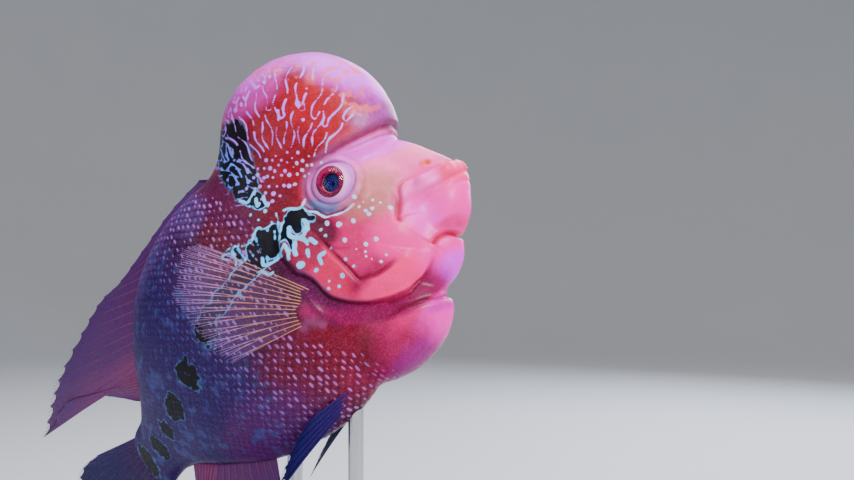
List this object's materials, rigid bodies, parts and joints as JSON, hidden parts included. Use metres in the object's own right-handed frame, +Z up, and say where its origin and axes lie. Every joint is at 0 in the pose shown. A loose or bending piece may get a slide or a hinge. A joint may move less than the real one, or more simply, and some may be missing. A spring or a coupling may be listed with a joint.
{
  "type": "flowerhorn cichlid model on a display stand",
  "caption": "Life-size still model of a flowerhorn cichlid with a tall nuchal hump, held nose-up and bent to one side on a plain base with rods.",
  "frame": {"origin": "middle of the underside of the stand's base", "axes": "+Z up; the fish's right side faces -Y and its snout points to +X and up"},
  "size_m": [0.2091, 0.1813, 0.2753],
  "materials": {
    "face_skin": "moist satin skin, peach to salmon",
    "hump_skin": "moist skin, red-orange with pale lilac worm lines",
    "pink_skin": "moist satin skin, pink to magenta",
    "red_skin": "scaled skin, red with pale pearls and a row of black spots",
    "flank_skin": "scaled skin, grey-purple",
    "eye": "wet polish, red iris and dark pupil",
    "fin": "thin translucent web with rays, pink-mauve",
    "dark_fin": "thin web with rays, dark purple",
    "clear_fin": "clear web with yellow-brown rays",
    "walnut": "satin oiled",
    "steel": "brushed"
  },
  "bodies": {
    "root": {"head": "face_skin", "nuchal_hump": "hump_skin", "upper_jaw": "face_skin", "lower_jaw": "pink_skin", "breast": "red_skin", "gill_cover_left": "red_skin", "gill_cover_right": "red_skin", "trunk": "red_skin", "tail": "flank_skin", "eye_left": "eye", "eye_right": "eye", "dorsal_fin": "fin", "anal_fin": "fin", "caudal_fin": "dark_fin", "pectoral_fin_left": "clear_fin", "pectoral_fin_right": "clear_fin", "pelvic_fin_left": "dark_fin", "pelvic_fin_right": "dark_fin", "stand_base": "walnut", "stand_rod_front": "steel", "stand_rod_rear": "steel"}
  },
  "joints": []
}
